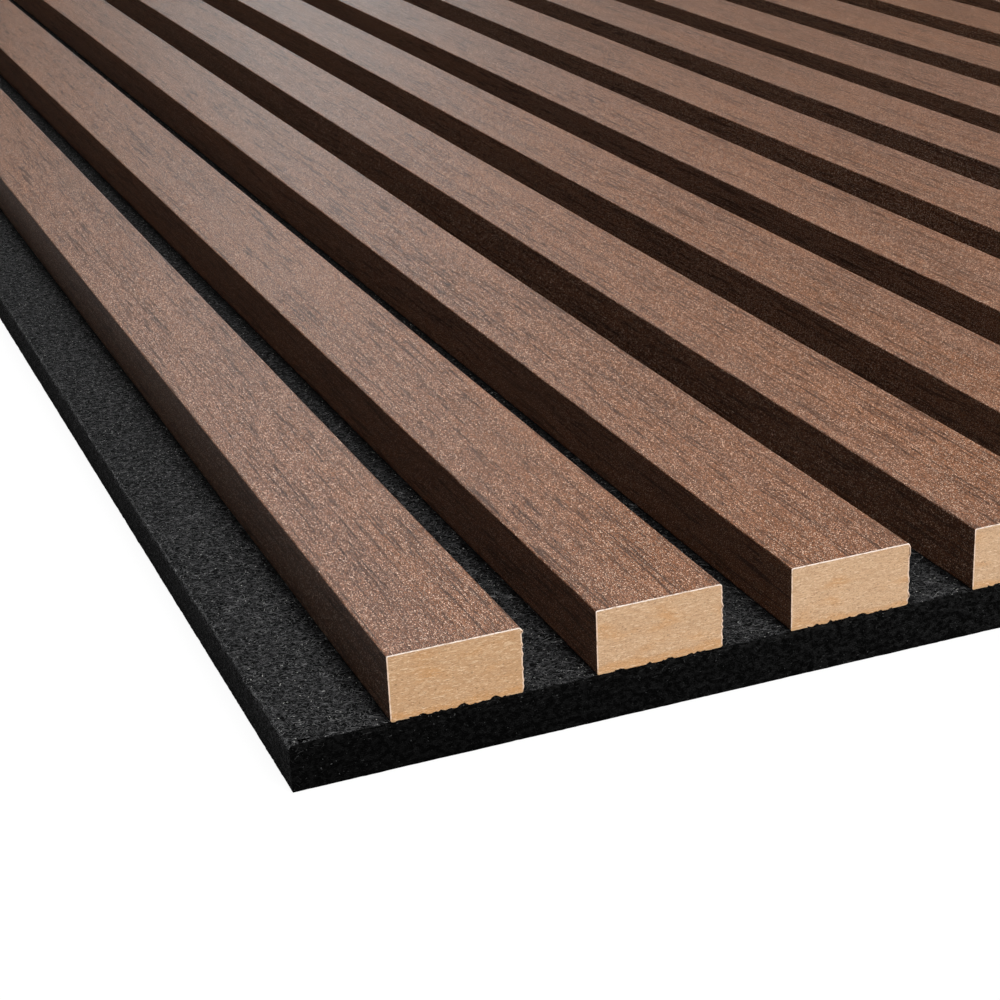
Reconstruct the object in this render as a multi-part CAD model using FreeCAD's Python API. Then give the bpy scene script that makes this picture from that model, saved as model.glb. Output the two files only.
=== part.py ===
# Acoustic slat wall panel, lying flat on its back.
# Foil-wrapped MDF slats run side by side along +Y on a board of black polyester felt.
# The origin is the centre of the felt's back face, and +Z points out of the wall into the room.
# Each slat is a milled MDF core in a printed decor foil, which goes round it and laps a few
# millimetres under it. Glue and flat-wire staples, driven from the back, hold the slats on the felt.
# All sizes are in millimetres.
import FreeCAD, Part
import os

# Felt board
PANEL_LENGTH = 2400.0
FELT_THICKNESS = 9.0
FELT_EDGE_RADIUS = 0.8
LEFT_MARGIN = 19.0
RIGHT_MARGIN = 0.5

# Slats, measured over the foil
SLAT_COUNT = 15
SLAT_WIDTH = 25.5
SLAT_HEIGHT = 13.0
SLAT_GAP = 14.5
SLAT_END_SETBACK = 0.8

# Core and foil. The core's radius is the one that the foil's inside follows.
CORE_EDGE_RADIUS = 0.3
FOIL_THICKNESS = 0.25
FOIL_LAP = 3.5

# Staples
STAPLES_PER_SLAT = 4
STAPLE_END_DISTANCE = 60.0
STAPLE_CROWN = 12.8
STAPLE_LEG = 14.0
STAPLE_WIRE_WIDTH = 0.95
STAPLE_WIRE_THICKNESS = 0.65
STAPLE_SINK = 0.3

SLAT_PITCH = SLAT_WIDTH + SLAT_GAP
SLAT_LENGTH = PANEL_LENGTH - 2 * SLAT_END_SETBACK
PANEL_WIDTH = LEFT_MARGIN + SLAT_COUNT * SLAT_PITCH - SLAT_GAP + RIGHT_MARGIN
SAME_PLACE = 1e-6


def centred_block(width, length, bottom, top):
    """A block centred on X and Y, from one height to another."""
    corner = FreeCAD.Vector(-width / 2, -length / 2, bottom)
    return Part.makeBox(width, length, top - bottom, corner)


def top_edges(solid):
    """The edges that lie flat along the top of a solid."""
    top = solid.BoundBox.ZMax
    return [edge for edge in solid.Edges if edge.BoundBox.ZMin > top - SAME_PLACE]


def long_top_edges(solid):
    """The two top edges that run along Y."""
    return [edge for edge in top_edges(solid) if edge.BoundBox.XLength < SAME_PLACE]


def slat_centres():
    """The X of every slat, from the panel's left to its right."""
    first = -PANEL_WIDTH / 2 + LEFT_MARGIN + SLAT_WIDTH / 2
    return [first + slat * SLAT_PITCH for slat in range(SLAT_COUNT)]


def staple_stations():
    """The Y of every staple of a slat, evenly spaced between the two end distances."""
    first = -SLAT_LENGTH / 2 + STAPLE_END_DISTANCE
    spacing = -2 * first / (STAPLES_PER_SLAT - 1)
    return [first + station * spacing for station in range(STAPLES_PER_SLAT)]


def staple(crown_back):
    """One staple under X = 0, its legs pointing up and the back of its crown at a given height."""
    outer = STAPLE_CROWN / 2
    inner = outer - STAPLE_WIRE_THICKNESS
    crown_front = STAPLE_SINK + STAPLE_WIRE_THICKNESS
    tip = STAPLE_SINK + STAPLE_LEG
    outline = [
        (-outer, crown_back),
        (outer, crown_back),
        (outer, tip),
        (inner, tip),
        (inner, crown_front),
        (-inner, crown_front),
        (-inner, tip),
        (-outer, tip),
        (-outer, crown_back),
    ]
    corners = [FreeCAD.Vector(x, -STAPLE_WIRE_WIDTH / 2, z) for x, z in outline]
    return Part.Face(Part.makePolygon(corners)).extrude(FreeCAD.Vector(0, STAPLE_WIRE_WIDTH, 0))


def row_of_staples(crown_back):
    """The staples of one slat, still under X = 0."""
    one = staple(crown_back)
    return Part.makeCompound([one.translated(FreeCAD.Vector(0, y, 0)) for y in staple_stations()])


def all_staples(crown_back):
    """The staples of the whole panel."""
    row = row_of_staples(crown_back)
    return Part.makeCompound([row.translated(FreeCAD.Vector(x, 0, 0)) for x in slat_centres()])


def felt_backing():
    """The felt board, soft along its upper edges, with the cuts where the staples went in from the back."""
    board = centred_block(PANEL_WIDTH, PANEL_LENGTH, 0, FELT_THICKNESS)
    board = board.makeFillet(FELT_EDGE_RADIUS, top_edges(board))
    return board.cut(all_staples(crown_back=0))


def slat_bar(shrink, edge_radius):
    """A bar on the felt with the slat's outline less a skin of one thickness, and rounded upper edges."""
    bar = centred_block(
        SLAT_WIDTH - 2 * shrink,
        SLAT_LENGTH,
        FELT_THICKNESS + shrink,
        FELT_THICKNESS + SLAT_HEIGHT - shrink,
    )
    return bar.makeFillet(edge_radius, long_top_edges(bar))


def plain_core():
    """The MDF before it is stapled."""
    return slat_bar(FOIL_THICKNESS, CORE_EDGE_RADIUS)


def slat_core():
    """The MDF inside one slat, pierced from below by the legs of its staples."""
    return plain_core().cut(row_of_staples(crown_back=STAPLE_SINK))


def slat_foil():
    """The foil of one slat: over the top, down both sides and in under the core by the lap."""
    outside = slat_bar(0, CORE_EDGE_RADIUS + FOIL_THICKNESS)
    open_back = centred_block(
        SLAT_WIDTH - 2 * FOIL_LAP,
        SLAT_LENGTH,
        FELT_THICKNESS,
        FELT_THICKNESS + FOIL_THICKNESS,
    )
    return outside.cut(plain_core()).cut(open_back)


def panel():
    """Every piece of the panel by its name."""
    pieces = {"felt_backing": felt_backing(), "staples": all_staples(crown_back=STAPLE_SINK)}
    core = slat_core()
    foil = slat_foil()
    for number, x in enumerate(slat_centres(), start=1):
        pieces[f"slat_{number:02d}_core"] = core.translated(FreeCAD.Vector(x, 0, 0))
        pieces[f"slat_{number:02d}_foil"] = foil.translated(FreeCAD.Vector(x, 0, 0))
    return pieces


os.makedirs("parts", exist_ok=True)
for name, shape in panel().items():
    shape.exportStep(f"parts/{name}.step")
print(f"panel {PANEL_WIDTH} x {PANEL_LENGTH} x {FELT_THICKNESS + SLAT_HEIGHT} mm")
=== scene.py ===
import math
import random

import bpy
from mathutils import Matrix, Vector, noise


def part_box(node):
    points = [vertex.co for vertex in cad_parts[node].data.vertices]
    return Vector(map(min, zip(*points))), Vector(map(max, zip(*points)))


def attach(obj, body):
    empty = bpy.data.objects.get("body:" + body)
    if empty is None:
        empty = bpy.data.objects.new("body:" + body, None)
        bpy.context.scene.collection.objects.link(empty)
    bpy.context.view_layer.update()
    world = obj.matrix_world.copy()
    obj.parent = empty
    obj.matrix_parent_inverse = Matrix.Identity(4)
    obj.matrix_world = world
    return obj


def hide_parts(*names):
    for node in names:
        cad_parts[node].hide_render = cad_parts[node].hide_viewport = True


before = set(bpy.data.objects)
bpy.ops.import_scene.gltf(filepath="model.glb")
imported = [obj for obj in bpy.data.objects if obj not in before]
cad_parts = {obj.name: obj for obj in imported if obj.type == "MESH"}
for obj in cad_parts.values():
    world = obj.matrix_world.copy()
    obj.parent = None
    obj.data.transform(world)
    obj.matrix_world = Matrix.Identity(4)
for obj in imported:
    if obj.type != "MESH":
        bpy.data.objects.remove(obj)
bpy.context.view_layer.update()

MM = 0.001

# Sizes read from the frame
FELT_LOW, FELT_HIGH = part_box("felt_backing")
SLATS = sorted(name[: -len("_foil")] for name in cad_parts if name.endswith("_foil"))
FOIL_BOXES = {slat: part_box(slat + "_foil") for slat in SLATS}
FOIL_LOW, FOIL_HIGH = FOIL_BOXES[SLATS[0]]
FOIL_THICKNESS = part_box(SLATS[0] + "_core")[0].x - FOIL_LOW.x
SLAT_WIDTH = FOIL_HIGH.x - FOIL_LOW.x
SLAT_PITCH = FOIL_BOXES[SLATS[1]][0].x - FOIL_LOW.x
SLAT_END = FOIL_HIGH.y

# The heights of a slat's lower and upper face, in millimetres for the finishes
LOW_EDGE = FOIL_LOW.z / MM
HIGH_EDGE = FOIL_HIGH.z / MM

# Sizes that the frame doesn't give. The foil sits tighter round a slat's left edges than round its right ones.
FOIL_LAP = 3.5 * MM
FOIL_LEFT_RADIUS = 0.3 * MM
FOIL_RIGHT_RADIUS = 0.55 * MM
OUTLINE_STEP = 0.25 * MM
TURN_STEPS = 4
STAPLES_PER_SLAT = 4
STAPLE_WIDTH = 0.95 * MM
STAPLE_DENT_DEPTH = 1.0 * MM

# The photographer's camera
CAMERA_PLACE = (-0.38377, -1.52035, 0.19139)
CAMERA_HEADING = math.radians(20.926)
CAMERA_TILT = math.radians(-22.762)
CAMERA_ROLL = math.radians(-2.617)
CAMERA_LENS = 77.64

FLOOR_SIZE = 40
FLOOR_DROP = 0.3 * MM

# The middle of the gap left of the first slat, in millimetres, and the share of the slats' pitch that is gap
FIRST_GAP = (FOIL_LOW.x - (SLAT_PITCH - SLAT_WIDTH) / 2) / MM
SLAT_GAP_SHARE = 1 - SLAT_WIDTH / SLAT_PITCH

# The draws that give each slat the tone of its foil and of its board
PRINT_RUN = 67306
BOARD_RUN = 17536


def place_camera():
    """Low, off the panel's near left corner, looking along the slats and turned a little on its own axis."""
    data = bpy.data.cameras.new("camera")
    data.sensor_width = 36
    data.lens = CAMERA_LENS
    data.clip_start = 0.01
    camera = bpy.data.objects.new("camera", data)
    bpy.context.scene.collection.objects.link(camera)
    camera.matrix_world = (
        Matrix.Translation(CAMERA_PLACE)
        @ Matrix.Rotation(-CAMERA_HEADING, 4, "Z")
        @ Matrix.Rotation(math.pi / 2 + CAMERA_TILT, 4, "X")
        @ Matrix.Rotation(CAMERA_ROLL, 4, "Z")
    )
    bpy.context.scene.camera = camera


class Paint:
    """A value that varies over a surface. Arithmetic on it adds Math nodes to its finish."""

    def __init__(self, finish, socket):
        self.finish = finish
        self.socket = socket

    def maths(self, operation, *values):
        return self.finish.node("ShaderNodeMath", {"operation": operation}, dict(enumerate(values)))

    def __add__(self, other):
        return self.maths("ADD", self, other)

    def __radd__(self, other):
        return self.maths("ADD", other, self)

    def __sub__(self, other):
        return self.maths("SUBTRACT", self, other)

    def __rsub__(self, other):
        return self.maths("SUBTRACT", other, self)

    def __mul__(self, other):
        return self.maths("MULTIPLY", self, other)

    def __rmul__(self, other):
        return self.maths("MULTIPLY", other, self)

    def __abs__(self):
        return self.maths("ABSOLUTE", self)

    def over(self, other):
        """The greater of two paints."""
        return self.maths("MAXIMUM", self, other)

    def under(self, other):
        """The lesser of two paints."""
        return self.maths("MINIMUM", self, other)

    def whole(self):
        return self.maths("FLOOR", self)

    def fraction(self):
        return self.maths("FRACT", self)

    def above(self, low, high):
        """0 below low, 1 above high, and a smooth rise between them."""
        limits = {"Value": self, "From Min": low, "From Max": high}
        return self.finish.node("ShaderNodeMapRange", {"interpolation_type": "SMOOTHSTEP"}, limits)


class Finish:
    """The shader nodes of a material or of the world."""

    def __init__(self, owner):
        self.owner = owner
        owner.use_nodes = True
        self.tree = owner.node_tree
        self.tree.nodes.clear()

    def node(self, kind, settings=None, inputs=None, output=0):
        """Adds a node, sets it up, fills its sockets with values or paints, and returns one of its outputs."""
        node = self.tree.nodes.new(kind)
        for name, value in (settings or {}).items():
            if name == "stops":
                self.set_stops(node.color_ramp, value)
            else:
                setattr(node, name, value)
        for name, value in (inputs or {}).items():
            if isinstance(value, Paint):
                self.tree.links.new(value.socket, node.inputs[name])
            else:
                node.inputs[name].default_value = value
        return Paint(self, node.outputs[output]) if node.outputs else None

    def set_stops(self, ramp, stops):
        while len(ramp.elements) < len(stops):
            ramp.elements.new(1)
        for element, (position, colour) in zip(ramp.elements, stops):
            element.position = position
            element.color = (*colour, 1)

    def place(self):
        """The place on the object, in millimetres."""
        place = self.node("ShaderNodeTexCoord", output="Object")
        return self.node("ShaderNodeVectorMath", {"operation": "SCALE"}, {0: place, "Scale": 1 / MM})

    def noise(self, place, size, turn=0, detail=0, roughness=0.5, distortion=0, shift=0, output="Fac"):
        """Noise about 0.5 in patches of (x, y, z) millimetres, turned about Z by some degrees."""
        laid = self.node(
            "ShaderNodeMapping",
            {"vector_type": "TEXTURE"},
            {"Vector": place, "Location": (shift,) * 3, "Rotation": (0, 0, math.radians(turn)), "Scale": size},
        )
        inputs = {
            "Vector": laid,
            "Scale": 1,
            "Detail": detail,
            "Roughness": roughness,
            "Distortion": distortion,
        }
        return self.node("ShaderNodeTexNoise", None, inputs, output)

    def curled(self, place, size, amount):
        """The place, pushed about at random by some millimetres, so that straight marks on it curl."""
        push = self.noise(place, (size,) * 3, output="Color")
        push = self.node("ShaderNodeVectorMath", {"operation": "SCALE"}, {0: push, "Scale": amount})
        return self.node("ShaderNodeVectorMath", {"operation": "ADD"}, {0: place, 1: push})

    def drawn_by_slat(self, place, run):
        """A value between 0 and 1 drawn for each slat, the same all over it."""
        across = self.node("ShaderNodeSeparateXYZ", None, {0: place}, output="X")
        slat = ((across - FIRST_GAP) * (MM / SLAT_PITCH)).whole()
        return self.node("ShaderNodeTexWhiteNoise", {"noise_dimensions": "1D"}, {"W": slat + run})

    def ramp(self, value, stops):
        return self.node("ShaderNodeValToRGB", {"stops": stops}, {0: value})

    def mix(self, share, first, second, blend="MIX"):
        """One colour laid over another by a share from 0 to 1."""
        inputs = {0: share, 6: self.colour(first), 7: self.colour(second)}
        return self.node("ShaderNodeMix", {"data_type": "RGBA", "blend_type": blend}, inputs, output=2)

    def colour(self, value):
        return value if isinstance(value, Paint) else (*value, 1)

    def bump(self, height, depth):
        """A normal for a relief of that depth in metres."""
        return self.node("ShaderNodeBump", None, {"Height": height, "Strength": 1.0, "Distance": depth})

    def rays(self, *kinds):
        """1 for rays of these kinds and 0 for others."""
        found = [self.node("ShaderNodeLightPath", output=f"Is {kind} Ray") for kind in kinds]
        total = found[0]
        for ray in found[1:]:
            total = total.over(ray)
        return total

    def end(self, **inputs):
        """Ends a material in one Principled shader. Underscores stand for the spaces in its sockets' names."""
        named = {name.replace("_", " "): value for name, value in inputs.items()}
        shader = self.node("ShaderNodeBsdfPrincipled", None, named)
        self.node("ShaderNodeOutputMaterial", None, {"Surface": shader})
        return self.owner


def new_finish(name):
    return Finish(bpy.data.materials.new(name))


def walnut_foil():
    """Printed dark walnut: veins and pores along the slat, and a fine embossed grit whose glints are painted into
    the colour as light specks.
    """
    finish = new_finish("walnut_foil")
    place = finish.place()
    tone = finish.drawn_by_slat(place, PRINT_RUN)
    drift = finish.noise(place, (13, 330, 13), detail=1, shift=3.1)
    streak = finish.noise(place, (2.8, 130, 2.8), detail=3, roughness=0.55, distortion=0.3)
    vein = finish.noise(place, (0.5, 16, 0.5), detail=2, roughness=0.6, distortion=0.6, shift=7.7)
    vein_patch = finish.noise(place, (3.5, 60, 3.5), detail=1, shift=2.2)
    pore = finish.noise(place, (0.24, 2.4, 0.24), detail=1, shift=1.9)
    grit = finish.noise(place, (0.15, 0.36, 0.15), detail=1, roughness=0.6, shift=5.3)
    painted_glint = finish.noise(place, (0.17, 0.34, 0.17), shift=8.8)
    base = finish.ramp(
        streak,
        [(0.3, (0.165, 0.076, 0.044)), (0.5, (0.240, 0.110, 0.062)), (0.72, (0.288, 0.133, 0.074))],
    )
    tint = finish.mix(tone, (0.75, 0.765, 0.86), (0.915, 0.85, 0.79))
    base = finish.mix(1.0, base, tint, blend="MULTIPLY")
    base = finish.mix(drift.above(0.4, 0.64), base, (1.12, 1.03, 0.86), blend="MULTIPLY")
    base = finish.mix((1.0 - grit).above(0.49, 0.63) * 0.8, base, (0.048, 0.023, 0.014))
    # Painted glints: the grit's light specks and the brighter sparks below stand in for light caught by the
    # embossed grit
    base = finish.mix(grit.above(0.52, 0.67) * 0.58, base, (0.60, 0.295, 0.16))
    base = finish.mix(painted_glint.above(0.645, 0.73), base, (1.0, 0.74, 0.57))
    base = finish.mix(pore.above(0.55, 0.68) * 0.6, base, (0.045, 0.021, 0.013))
    base = finish.mix(vein.above(0.52, 0.62) * vein_patch.above(0.28, 0.55) * 0.7, base, (0.040, 0.020, 0.013))
    cast = finish.mix(tone, (1.02, 1.01, 1.02), (0.945, 0.905, 0.865))
    base = finish.mix(1.0, base, cast, blend="MULTIPLY")
    relief = grit + painted_glint.above(0.6, 0.8) - pore.above(0.5, 0.7) * 0.5
    return finish.end(
        Base_Color=base,
        Roughness=0.30 + grit * 0.1,
        Specular_IOR_Level=0.25,
        Normal=finish.bump(relief, 0.06 * MM),
    )


def foil_cut():
    """The paper that shows where the foil is cut: duller down the sides and below, and whitish along the top, a
    painted highlight where the light from above falls on the paper.
    """
    finish = new_finish("foil_cut")
    place = finish.place()
    height = finish.node("ShaderNodeSeparateXYZ", None, {0: place}, output="Z")
    fray = finish.noise(place, (0.6, 0.6, 0.6), detail=2)
    colour = finish.mix(height.above(LOW_EDGE + 0.3, LOW_EDGE + 0.9), (0.58, 0.36, 0.19), (0.80, 0.60, 0.46))
    # Painted highlight: the top of the cut edge lighter, as the light from above falls on it
    colour = finish.mix(height.above(HIGH_EDGE - 0.6, HIGH_EDGE - 0.2), colour, (0.95, 0.82, 0.72))
    colour = finish.mix(fray.above(0.45, 0.75) * 0.8, colour, (0.50, 0.31, 0.18))
    return finish.end(Base_Color=colour, Roughness=0.8)


def sawn_mdf():
    """Pale fibreboard, packed in thin layers, with dark and light flecks across the sawn face."""
    finish = new_finish("sawn_mdf")
    place = finish.place()
    height = finish.node("ShaderNodeSeparateXYZ", None, {0: place}, output="Z")
    pale = finish.drawn_by_slat(place, BOARD_RUN)
    layer = finish.noise(place, (6, 4, 1.6), detail=2)
    warm = finish.noise(place, (7, 7, 3), detail=1, shift=6.1)
    fleck = finish.noise(place, (0.8, 0.6, 0.16), detail=1, roughness=0.6, distortion=1.6, shift=2.3)
    chip = finish.noise(place, (1.2, 0.5, 0.2), detail=1, distortion=1.4, shift=8.4)
    speck = finish.noise(place, (0.6, 0.6, 0.33), shift=4.4)
    base = finish.mix(pale * 0.5, (0.530, 0.318, 0.170), (0.700, 0.490, 0.328))
    base = finish.mix(layer.above(0.3, 0.7), base, (1.06, 1.06, 1.06), blend="MULTIPLY")
    warmth = (warm + (1.0 - height.above(LOW_EDGE, LOW_EDGE + 2.5)) * 0.35).above(0.5, 0.85)
    base = finish.mix(warmth * 0.55, base, (0.60, 0.30, 0.11))
    base = finish.mix(fleck.above(0.52, 0.64) * 0.6, base, (0.30, 0.160, 0.075))
    base = finish.mix(chip.above(0.55, 0.68) * 0.5, base, (0.92, 0.70, 0.48))
    base = finish.mix(speck.above(0.72, 0.78) * 0.55, base, (0.17, 0.095, 0.045))
    return finish.end(
        Base_Color=base,
        Roughness=0.85,
        Specular_IOR_Level=0.2,
        Normal=finish.bump(chip - fleck, 0.05 * MM),
    )


def black_felt():
    """Needled black polyester: fine crossing fibres, with painted shade between the slats and in creases at their
    feet, painted light on its sides, and the cut ends darker, partly as their dense pile and partly because the
    top's lighter colour is a painted sheen."""
    finish = new_finish("black_felt")
    place = finish.place()
    across = finish.node("ShaderNodeSeparateXYZ", None, {0: place}, output="X")
    painted_slat_shade = across.above(FOIL_LOW.x / MM, FOIL_HIGH.x / MM)
    phase = ((across - FIRST_GAP) * (MM / SLAT_PITCH)).fraction()
    foot = SLAT_GAP_SHARE / 2
    # Painted shade: a dark crease along each slat's foot, where the light can't reach
    pressed = phase.under(1.0 - phase).above(foot - 0.07, foot) * across.above(FIRST_GAP, FIRST_GAP + 1)
    further = across.above(FELT_LOW.x / MM, FELT_LOW.x / MM + 160)
    normal = finish.node("ShaderNodeNewGeometry", output="Normal")
    sideward = abs(finish.node("ShaderNodeSeparateXYZ", None, {0: normal}, output="X"))
    endward = abs(finish.node("ShaderNodeSeparateXYZ", None, {0: normal}, output="Y"))
    curled = finish.curled(place, 1.8, 1.1)
    fibre = 0.0
    for turn in (-74, -46, -29, -13, 10, 47):
        strand = finish.noise(curled, (2.0, 0.19, 0.19), turn=turn, shift=turn)
        strand = strand.above(0.64, 0.8)
        fibre = strand.over(fibre)
    patch = finish.noise(place, (1.3, 1.0, 1.0), detail=2, shift=6.0)
    # Light specks: partly lint, partly painted glints on the fibres
    lint_and_glint = finish.noise(place, (0.4, 0.3, 0.3), shift=2.0).above(0.79, 0.85)
    shown = fibre * (0.3 + patch.above(0.3, 0.7) * 0.7)
    face = finish.mix(shown, (0.003, 0.003, 0.0031), (0.135, 0.135, 0.137))
    # Painted shade: the felt from the first slat rightwards darker, where the slats hide it from the light
    face = finish.mix(painted_slat_shade, face, (0.79, 0.79, 0.79), blend="MULTIPLY")
    # Painted shade in the creases at the slats' feet
    face = finish.mix(pressed, face, (0.35, 0.35, 0.35), blend="MULTIPLY")
    # Painted light: the sides that face left and right painted lighter, to make up for the light they miss
    face = finish.mix(sideward.above(0.3, 0.9), face, (2.8, 2.8, 2.8), blend="MULTIPLY")
    face = finish.mix(lint_and_glint, face, (0.55, 0.55, 0.52))
    cut = finish.mix(patch.above(0.45, 0.62), (0.0002, 0.0002, 0.0002), (0.0030, 0.0030, 0.0030))
    cut = finish.mix(shown * 0.6, cut, (0.013, 0.013, 0.013))
    cut = finish.mix(further, cut, (2.1, 2.1, 2.1), blend="MULTIPLY")
    cut = finish.mix(lint_and_glint * 0.25, cut, (0.25, 0.25, 0.25))
    # The faces towards the ends take the cut's darker colour: partly the cut pile's own darkness, partly painted
    # light, as the top's lighter colour stands in for its sheen
    colour = finish.mix((endward + patch * 0.5).above(0.4, 0.62), face, cut)
    return finish.end(
        Base_Color=colour,
        Roughness=0.9,
        Specular_IOR_Level=0.03,
        Normal=finish.bump(shown, 0.12 * MM),
    )


def felt_fibre():
    """Loose fibres, dull black to grey."""
    finish = new_finish("felt_fibre")
    tone = finish.noise(finish.place(), (2.5, 2.5, 2.5), detail=1)
    endward = abs(finish.node("ShaderNodeSeparateXYZ", None, {0: finish.place()}, output="Y"))
    at_end = endward.above(FELT_HIGH.y / MM - 0.8, FELT_HIGH.y / MM - 0.3)
    colour = finish.mix(tone.above(0.45, 0.7), (0.02, 0.02, 0.021), (0.16, 0.16, 0.16))
    # The fibres on the cut ends take the cut's darker colour: partly their pile, partly painted light, as the
    # felt's lighter top stands in for its sheen
    colour = finish.mix(at_end * 0.85, colour, (0.006, 0.006, 0.006))
    return finish.end(Base_Color=colour, Roughness=0.6, Specular_IOR_Level=0.2)


def staple_wire():
    """Zinc-plated flat wire, drawn and a little scratched."""
    finish = new_finish("staple_wire")
    scratch = finish.noise(finish.place(), (2.5, 0.15, 0.15), detail=2)
    colour = finish.mix(scratch, (0.42, 0.42, 0.41), (0.7, 0.7, 0.69))
    return finish.end(Base_Color=colour, Metallic=1.0, Roughness=0.22 + scratch * 0.25)


def floor_paint():
    """White to the camera but for the panel's faint shadow, paler in reflections, and a dim floor as light."""
    finish = new_finish("floor")
    seen = finish.rays("Camera", "Transmission") + finish.rays("Glossy") * 0.15
    shade = finish.mix(seen, (0.08, 0.08, 0.08), (1, 1, 1))
    shaded = finish.node("ShaderNodeBsdfDiffuse", None, {"Color": shade})
    white = finish.node("ShaderNodeEmission", None, {"Color": (1, 1, 1, 1), "Strength": 1.0})
    shader = finish.node("ShaderNodeMixShader", None, {0: seen * 0.94, 1: shaded, 2: white})
    finish.node("ShaderNodeOutputMaterial", None, {"Surface": shader})
    return finish.owner


def deselect():
    for item in bpy.context.selected_objects:
        item.select_set(False)


def pick(piece):
    """Makes a piece the active one and the only one selected."""
    deselect()
    piece.select_set(True)
    bpy.context.view_layer.objects.active = piece


def laid_sheet(name, columns, rows, place):
    """A flat grid of that many points, laid where place(column, row) says."""
    deselect()
    bpy.ops.mesh.primitive_grid_add(x_subdivisions=columns - 1, y_subdivisions=rows - 1)
    sheet = bpy.context.object
    sheet.name = name
    sheet.data.name = name
    for index, vertex in enumerate(sheet.data.vertices):
        vertex.co = place(index % columns, index // columns)
    return sheet


def sewn_tube(name, columns, rows, place):
    """A sheet whose last column meets its first, sewn there and closed at both ends."""
    tube = laid_sheet(name, columns + 1, rows, lambda column, row: place(column % columns, row))
    bpy.ops.object.mode_set(mode="EDIT")
    bpy.ops.mesh.select_all(action="SELECT")
    bpy.ops.mesh.remove_doubles(threshold=0.001 * MM)
    bpy.ops.mesh.fill_holes(sides=0)
    bpy.ops.mesh.select_all(action="SELECT")
    bpy.ops.mesh.normals_make_consistent(inside=False)
    bpy.ops.object.mode_set(mode="OBJECT")
    return tube


def apply(piece, modifier):
    bpy.context.view_layer.objects.active = piece
    bpy.ops.object.modifier_apply(modifier=modifier)


def dress(piece, nodes, crease):
    """Gives a finished piece its smooth shading and its place in the frame."""
    pick(piece)
    bpy.ops.object.shade_smooth_by_angle(angle=math.radians(crease))
    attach(piece, "root")
    if nodes:
        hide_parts(*nodes)


def slat_outline(inward, lap):
    """Places and outward directions round a slat, in its own x and z, from under its left side to under its right.

    Inward is how far the outline lies inside the foil's outer face, and lap where it starts under the slat."""
    half_width = SLAT_WIDTH / 2 - inward
    low = FOIL_LOW.z + inward
    high = FOIL_HIGH.z - inward
    left = FOIL_LEFT_RADIUS - inward
    right = FOIL_RIGHT_RADIUS - inward
    turns = [
        (-half_width + left, low + left, left, 270),
        (-half_width + left, high - left, left, 180),
        (half_width - right, high - right, right, 90),
        (half_width - right, low + right, right, 0),
    ]
    corners = [(Vector((-half_width + lap, low)), Vector((0, -1)))]
    for x, z, radius, first in turns:
        for step in range(TURN_STEPS + 1):
            angle = math.radians(first - 90 * step / TURN_STEPS)
            outward = Vector((math.cos(angle), math.sin(angle)))
            corners.append((Vector((x, z)) + radius * outward, outward))
    corners.append((Vector((half_width - lap, low)), Vector((0, -1))))
    stations = [corners[0]]
    for (start, _), (end, outward) in zip(corners, corners[1:]):
        steps = max(1, round((end - start).length / OUTLINE_STEP))
        for step in range(1, steps + 1):
            stations.append((start.lerp(end, step / steps), outward))
    return stations


def ripple(at, size, seed):
    """Smooth noise from about -1 to 1 along a line."""
    return noise.noise(Vector((at / size, seed * 7.31, seed * 1.7)))


def middle_of(slat):
    """The X of a slat's middle."""
    low, high = FOIL_BOXES[slat]
    return (low.x + high.x) / 2


# Rows of points along a slat, by their distance from its end, and how much of the end's damage each takes
END_ROWS = [(0.0, 1.0), (0.18 * MM, 0.5), (0.55 * MM, 0.12), (1.6 * MM, 0.0)]

# The fray of the foil at a sawn end: the size of its waves, where a wave turns into a burr or a nick, and how far
# each of them reaches for a full wave
FRAY_SIZE = 0.9 * MM
BURR_START, BURR_REACH = 0.05, 0.55 * MM
NICK_START, NICK_REACH = 0.2, 0.3 * MM

# The chips in the MDF's lower edge: the size of each wave, its share and the shift of its seed, then where the
# waves bottom out, the level of sound board, the depth for a full wave, and the way to the foil on which they fade
CHIP_WAVES = [(2.1 * MM, 0.5, 0), (1.1 * MM, 0.35, 40), (0.5 * MM, 0.2, 20)]
CHIP_BOTTOM = -0.15
CHIP_LEVEL = 0.08
CHIP_DEPTH = 1.3 * MM
CHIP_FADE = 0.8 * MM


def slat_rows():
    """The rows' places along the slat and their share of the damage, from the near end to the far end."""
    near = [(-SLAT_END + depth, share) for depth, share in END_ROWS]
    far = [(SLAT_END - depth, share) for depth, share in reversed(END_ROWS)]
    return near + far


def fray(x, z, outward, seed):
    """How far burrs and nicks push a sawn end's outer face out at one point of its outline: little along the top
    and the left side, more underneath, and most on the right side, where the saw came out."""
    wave = noise.noise(Vector((x / FRAY_SIZE, z / FRAY_SIZE, seed * 5.3)))
    share = 0.12 + 0.88 * max(0, outward.x) + 0.3 * max(0, -outward.y)
    burr = max(0, wave - BURR_START) * BURR_REACH
    nick = max(0, -wave - NICK_START) * NICK_REACH
    return (burr - nick) * share


def frayed(x, z, outward, depth, y, share, seed):
    """A point of the outline with the fray of its end, for a face that lies that deep inside the foil's."""
    side = 1 if y > 0 else -1
    out = fray(x + outward.x * depth, z + outward.y * depth, outward, seed + side) * share
    return x + outward.x * out, z + outward.y * out


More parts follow.
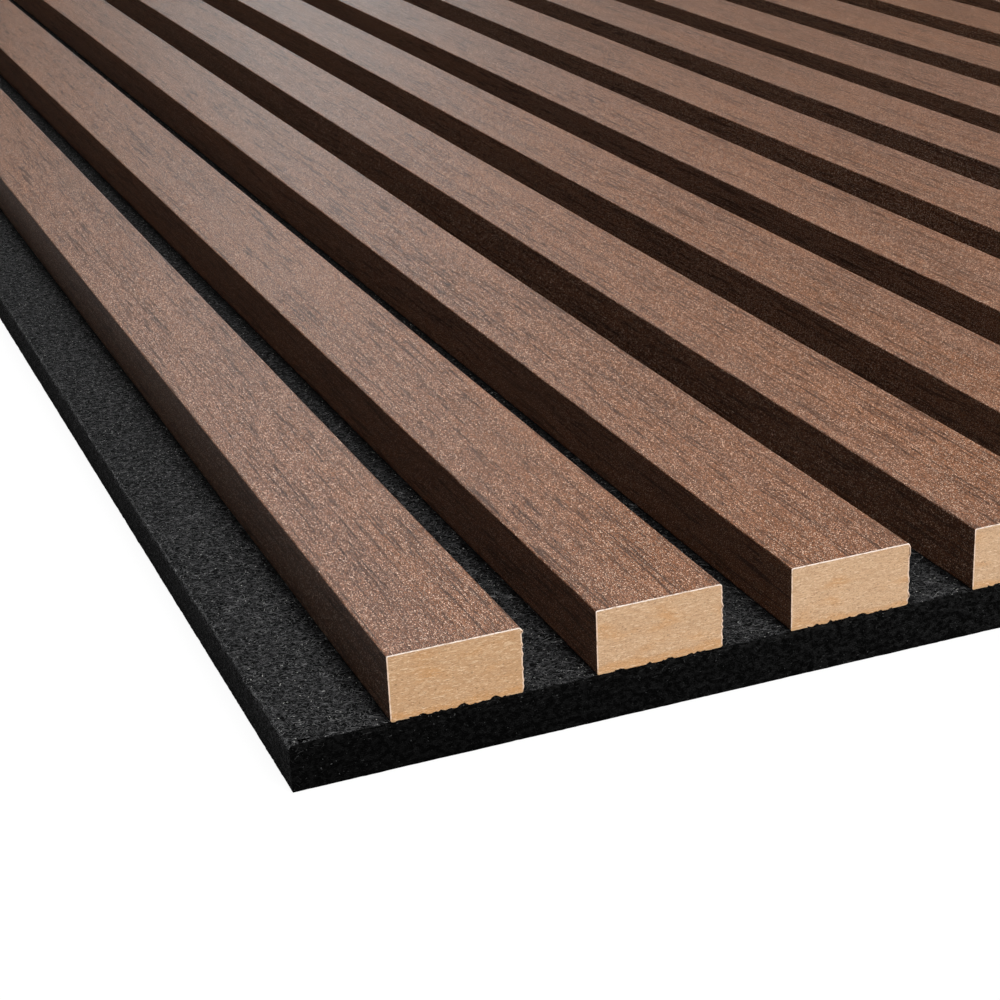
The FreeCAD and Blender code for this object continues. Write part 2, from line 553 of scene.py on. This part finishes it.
def slat_foil(slat, seed, paints):
    """The foil round one slat: a sheet laid round the outline, frayed at its cut ends, with its own thickness."""
    centre = middle_of(slat)
    stations = slat_outline(0, FOIL_LAP)
    rows = slat_rows()

    def place(column, row):
        (x, z), outward = stations[column]
        y, share = rows[row]
        x, z = frayed(x, z, outward, 0, y, share, seed)
        return Vector((centre + x, y, z))

    foil = laid_sheet(slat + "_foil_wrap", len(stations), len(rows), place)
    thickness = foil.modifiers.new("thickness", "SOLIDIFY")
    thickness.thickness = FOIL_THICKNESS
    thickness.offset = -1
    thickness.use_even_offset = True
    thickness.material_offset_rim = 1
    for paint in paints:
        foil.data.materials.append(paint)
    apply(foil, "thickness")
    dress(foil, [slat + "_foil"], crease=35)


def slat_core(slat, seed, paint):
    """The MDF bar in one slat, chipped along the lower edge of its sawn ends, where no foil holds it."""
    centre = middle_of(slat)
    half_width = SLAT_WIDTH / 2 - FOIL_THICKNESS
    stations = slat_outline(FOIL_THICKNESS, half_width)[:-1]
    rows = slat_rows()
    bare = SLAT_WIDTH / 2 - FOIL_LAP

    def place(column, row):
        (x, z), outward = stations[column]
        y, share = rows[row]
        side = 1 if y > 0 else -1
        underneath = outward.y < -0.9
        if underneath and abs(x) < bare:
            chip = sum(ripple(x, size, seed + side + shift) * part for size, part, shift in CHIP_WAVES)
            open_share = min(1, (bare - abs(x)) / CHIP_FADE)
            z += (max(CHIP_BOTTOM, chip) - CHIP_LEVEL) * CHIP_DEPTH * open_share * share
        else:
            x, z = frayed(x, z, outward, FOIL_THICKNESS, y, share, seed)
        return Vector((centre + x, y, z))

    core = sewn_tube(slat + "_mdf", len(stations), len(rows), place)
    core.data.materials.append(paint)
    dress(core, [slat + "_core"], crease=35)


# The spacing of the points round the felt board's plan
FELT_STEP = 0.9 * MM
FELT_THICKNESS = FELT_HIGH.z - FELT_LOW.z

# The board's left side was cut a little out of line, and runs in from the near end over that length
FELT_SKEW = 1.5 * MM
FELT_SKEW_LENGTH = 300 * MM

# The cut of the near end leans out from its top to its foot, by more and more over that length from each corner
FELT_LEAN = 0.8 * MM
FELT_LEAN_LENGTH = 250 * MM

# The board's edge in rings, from its back face up: how far each one lies in from the edge, and its height. The
# last four, round the upper edge, are more worn than the cut below them, and three of them also sink and swell.
FELT_RINGS = [
    (0.1 * MM, 0.0),
    (0.0, 0.2 * MM),
    (0.0, FELT_THICKNESS * 0.35),
    (0.0, FELT_THICKNESS * 0.65),
    (0.0, FELT_THICKNESS - 1.1 * MM),
    (0.12 * MM, FELT_THICKNESS - 0.55 * MM),
    (0.42 * MM, FELT_THICKNESS - 0.16 * MM),
    (0.95 * MM, FELT_THICKNESS),
    (2.2 * MM, FELT_THICKNESS),
]
SOFT_RINGS = (5, 6, 7)
CUT_WEAR = 0.4 * MM
EDGE_WEAR = 1.3 * MM
EDGE_SWELL = 0.25 * MM

# Loose fibres: half their thickness, their points, how thick they lie, and how far the thick part runs from an end
FIBRE_RADIUS = 0.035 * MM
FIBRE_POINTS = 3
THICK_SPACING = 1.7 * MM
THIN_SPACING = 10 * MM
THICK_REACH = 110 * MM
EDGE_FIBRES = 6000

# The bare rim that loose fibres keep clear of
RIM = 1 * MM


def felt_stations():
    """Places and outward directions round the board's plan, anticlockwise from its near left corner."""
    corners = [
        Vector((FELT_LOW.x, FELT_LOW.y)),
        Vector((FELT_HIGH.x, FELT_LOW.y)),
        Vector((FELT_HIGH.x, FELT_HIGH.y)),
        Vector((FELT_LOW.x + FELT_SKEW, FELT_HIGH.y)),
    ]
    outwards = [Vector((0, -1)), Vector((1, 0)), Vector((0, 1)), Vector((-1, 0))]
    stations = []
    for side in range(4):
        start, end = corners[side], corners[(side + 1) % 4]
        steps = round((end - start).length / FELT_STEP)
        stations.append((start, outwards[side] + outwards[side - 1]))
        for step in range(1, steps):
            point = start.lerp(end, step / steps)
            on_left = side == 3
            if on_left:
                point.x = FELT_LOW.x + FELT_SKEW * min(1, (point.y - FELT_LOW.y) / FELT_SKEW_LENGTH)
            stations.append((point, outwards[side]))
    return stations


def near_lean(x, height):
    """How far the near end's cut stands out at one place."""
    share = min(1, (x - FELT_LOW.x) / FELT_LEAN_LENGTH, (FELT_HIGH.x - x) / FELT_LEAN_LENGTH)
    return FELT_LEAN * share * (1 - height / FELT_THICKNESS)


def felt_board(paint):
    """The felt board, cut a little unevenly, with a soft ragged upper edge."""
    stations = felt_stations()

    def place(column, row):
        point, outward = stations[column]
        inset, height = FELT_RINGS[row]
        at = Vector((point.x / MM, point.y / MM, height / MM))
        wear = CUT_WEAR if row < SOFT_RINGS[0] else EDGE_WEAR
        ragged = (noise.noise(at / 1.1) * 0.25 + noise.noise(at / 3.7) * 0.2) * wear
        point = point - outward * (inset + max(-inset * 0.8, ragged))
        if outward.y < 0:
            point.y -= near_lean(point.x, height)
        if row in SOFT_RINGS:
            height += noise.noise(at / 2.3 + Vector((9, 9, 9))) * EDGE_SWELL
        return Vector((point.x, point.y, min(height, FELT_THICKNESS)))

    board = sewn_tube("felt_board", len(stations), len(FELT_RINGS), place)
    board.data.materials.append(paint)
    dents = staple_dents()
    pressed = board.modifiers.new("dents", "BOOLEAN")
    pressed.object = dents
    apply(board, "dents")
    bpy.data.objects.remove(dents)
    dress(board, ["felt_backing"], crease=60)


def repeat(piece, count, offset):
    """Repeats a piece's mesh along a line."""
    row = piece.modifiers.new("row", "ARRAY")
    row.count = count
    row.use_relative_offset = False
    row.use_constant_offset = True
    row.constant_offset_displace = offset
    apply(piece, "row")


def staple_dents():
    """Blocks in the shape of the dents that the staples' crowns press in the felt's back, wider at the mouth."""
    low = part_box("staples")[0]
    x = middle_of(SLATS[0])
    y = low.y + STAPLE_WIDTH / 2
    length = 2 * (x - low.x) + 0.3 * MM
    width = STAPLE_WIDTH + 0.4 * MM
    deselect()
    bpy.ops.mesh.primitive_cube_add(size=1, location=(x, y, 0), scale=(length, width, 2 * STAPLE_DENT_DEPTH))
    dents = bpy.context.object
    bpy.ops.object.transform_apply()
    for face in dents.data.polygons:
        face.select = face.normal.z < -0.5
    bpy.ops.object.mode_set(mode="EDIT")
    bpy.ops.mesh.select_mode(type="FACE")
    bpy.ops.transform.resize(value=(1.08, 2.0, 1), center_override=(x, y, -STAPLE_DENT_DEPTH))
    bpy.ops.object.mode_set(mode="OBJECT")
    repeat(dents, STAPLES_PER_SLAT, (0, -2 * y / (STAPLES_PER_SLAT - 1), 0))
    repeat(dents, len(SLATS), (SLAT_PITCH, 0, 0))
    return dents


def bare_strips():
    """The strips of felt that show between the slats and outside them, by their left and right."""
    lefts = [FELT_LOW.x + FELT_SKEW + RIM] + [FOIL_BOXES[slat][1].x for slat in SLATS]
    rights = [FOIL_BOXES[slat][0].x for slat in SLATS] + [FELT_HIGH.x - RIM]
    return [(left, right) for left, right in zip(lefts, rights) if right - left > 2 * RIM]


def spun(name, lines, paint):
    """One piece of thin fibres, each of them along a line of points."""
    curve = bpy.data.curves.new(name, "CURVE")
    curve.dimensions = "3D"
    curve.bevel_depth = FIBRE_RADIUS
    curve.bevel_resolution = 0
    curve.use_fill_caps = True
    for line in lines:
        spline = curve.splines.new("POLY")
        spline.points.add(len(line) - 1)
        for point, place in zip(spline.points, line):
            point.co = (*place, 1)
    fibres = bpy.data.objects.new(name, curve)
    bpy.context.scene.collection.objects.link(fibres)
    pick(fibres)
    bpy.ops.object.convert(target="MESH")
    fibres.data.materials.append(paint)
    dress(fibres, [], crease=60)


def loose_fibres(name, start, end, spacing, paint, seed):
    """Loose fibres lying on the bare felt from one Y to another, one to each square of that spacing."""
    chance = random.Random(seed)
    lines = []
    for left, right in bare_strips():
        for _ in range(round((right - left) * (end - start) / spacing**2)):
            x = chance.uniform(left, right)
            y = chance.uniform(start, end)
            heading = chance.uniform(0, math.tau)
            curl = chance.uniform(-0.6, 0.6)
            step = chance.uniform(0.5, 1.4) * MM
            line = []
            for _ in range(FIBRE_POINTS):
                z = FELT_HIGH.z + chance.uniform(-0.03, 0.1) * MM
                line.append((min(max(x, left), right), min(max(y, start), end), z))
                x += step * math.cos(heading)
                y += step * math.sin(heading)
                heading += curl
            lines.append(line)
    spun(name, lines, paint)


def edge_fibres(name, count, paint, seed):
    """Short fibres that curl off the board's four cut sides, most of them near the top."""
    chance = random.Random(seed)
    stations = felt_stations()
    lines = []
    for _ in range(count):
        point, outward = chance.choice(stations)
        out = Vector((outward.x, outward.y, 0))
        along = Vector((-outward.y, outward.x, 0))
        fall = min(8, abs(chance.gauss(0.3, 2.2))) * MM
        place = Vector((point.x, point.y, FELT_HIGH.z - fall)) - out * max(0.05 * MM, 0.6 * MM - fall)
        slope = chance.uniform(0, math.tau)
        step = chance.uniform(0.3, 0.8) * MM
        line = []
        for _ in range(FIBRE_POINTS):
            line.append(tuple(place))
            place += (along * math.cos(slope) + Vector((0, 0, math.sin(slope) * 0.6))) * step
            place += out * chance.uniform(-0.05, 0.2) * MM
            slope += chance.uniform(-0.8, 0.8)
        lines.append(line)
    spun(name, lines, paint)


def floor():
    """A wide floor, so little under the panel that no gap shows and no face of the two coincides."""
    deselect()
    bpy.ops.mesh.primitive_plane_add(size=FLOOR_SIZE, location=(0, 0, -FLOOR_DROP))
    ground = bpy.context.object
    ground.name = "floor"
    ground.data.materials.append(floor_paint())


def area_light(name, place, aim, size, power, colour=(1, 1, 1)):
    """A rectangular lamp at one place, turned to another."""
    data = bpy.data.lights.new(name, "AREA")
    data.shape = "RECTANGLE"
    data.size, data.size_y = size
    data.energy = power
    data.color = colour
    light = bpy.data.objects.new(name, data)
    bpy.context.scene.collection.objects.link(light)
    light.location = place
    light.rotation_euler = (Vector(aim) - Vector(place)).to_track_quat("-Z", "Y").to_euler()


def surround():
    """White to the camera, grey in reflections, and dim as light."""
    world = bpy.data.worlds.new("surround")
    bpy.context.scene.world = world
    finish = Finish(world)
    level = finish.rays("Camera", "Transmission") + finish.rays("Glossy") * 0.028
    white = {"Color": (1, 1, 1, 1), "Strength": level.over(0.048)}
    background = finish.node("ShaderNodeBackground", None, white)
    finish.node("ShaderNodeOutputWorld", None, {"Surface": background})


def studio():
    """A soft lamp high in front, a wide dim one high over the panel, a weak one from the right, and a tall cool
    strip far behind that the slats' tops mirror."""
    area_light("key", (0.05, -3.1, 2.0), (-0.15, -1.2, 0), (1.2, 1.2), 115)
    area_light("back", (0.2, 1.0, 3.6), (0, 0, 0), (4.0, 2.0), 45)
    area_light("right", (3.2, -0.6, 1.4), (0, -0.6, 0), (1.5, 1.5), 25)
    area_light("strip", (1.84, 5.82, 2.7), (-0.2, -0.9, 0), (0.8, 4.4), 24, (0.76, 1.0, 1.11))
    surround()


bpy.context.scene.view_settings.view_transform = "Standard"
place_camera()
studio()
floor()

foil_paints = [walnut_foil(), foil_cut()]
core_paint = sawn_mdf()
for number, slat in enumerate(SLATS, start=1):
    slat_foil(slat, number, foil_paints)
    slat_core(slat, number, core_paint)
felt_board(black_felt())
fibre_paint = felt_fibre()
near, far = FELT_LOW.y, FELT_HIGH.y
loose_fibres("fibres_near", near + RIM, near + THICK_REACH, THICK_SPACING, fibre_paint, seed=1)
loose_fibres("fibres_far", far - THICK_REACH, far - RIM, THICK_SPACING, fibre_paint, seed=2)
loose_fibres("fibres_middle", near + THICK_REACH, far - THICK_REACH, THIN_SPACING, fibre_paint, seed=3)
edge_fibres("fibres_edge", EDGE_FIBRES, fibre_paint, seed=4)
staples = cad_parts["staples"]
staples.data.materials.clear()
staples.data.materials.append(staple_wire())
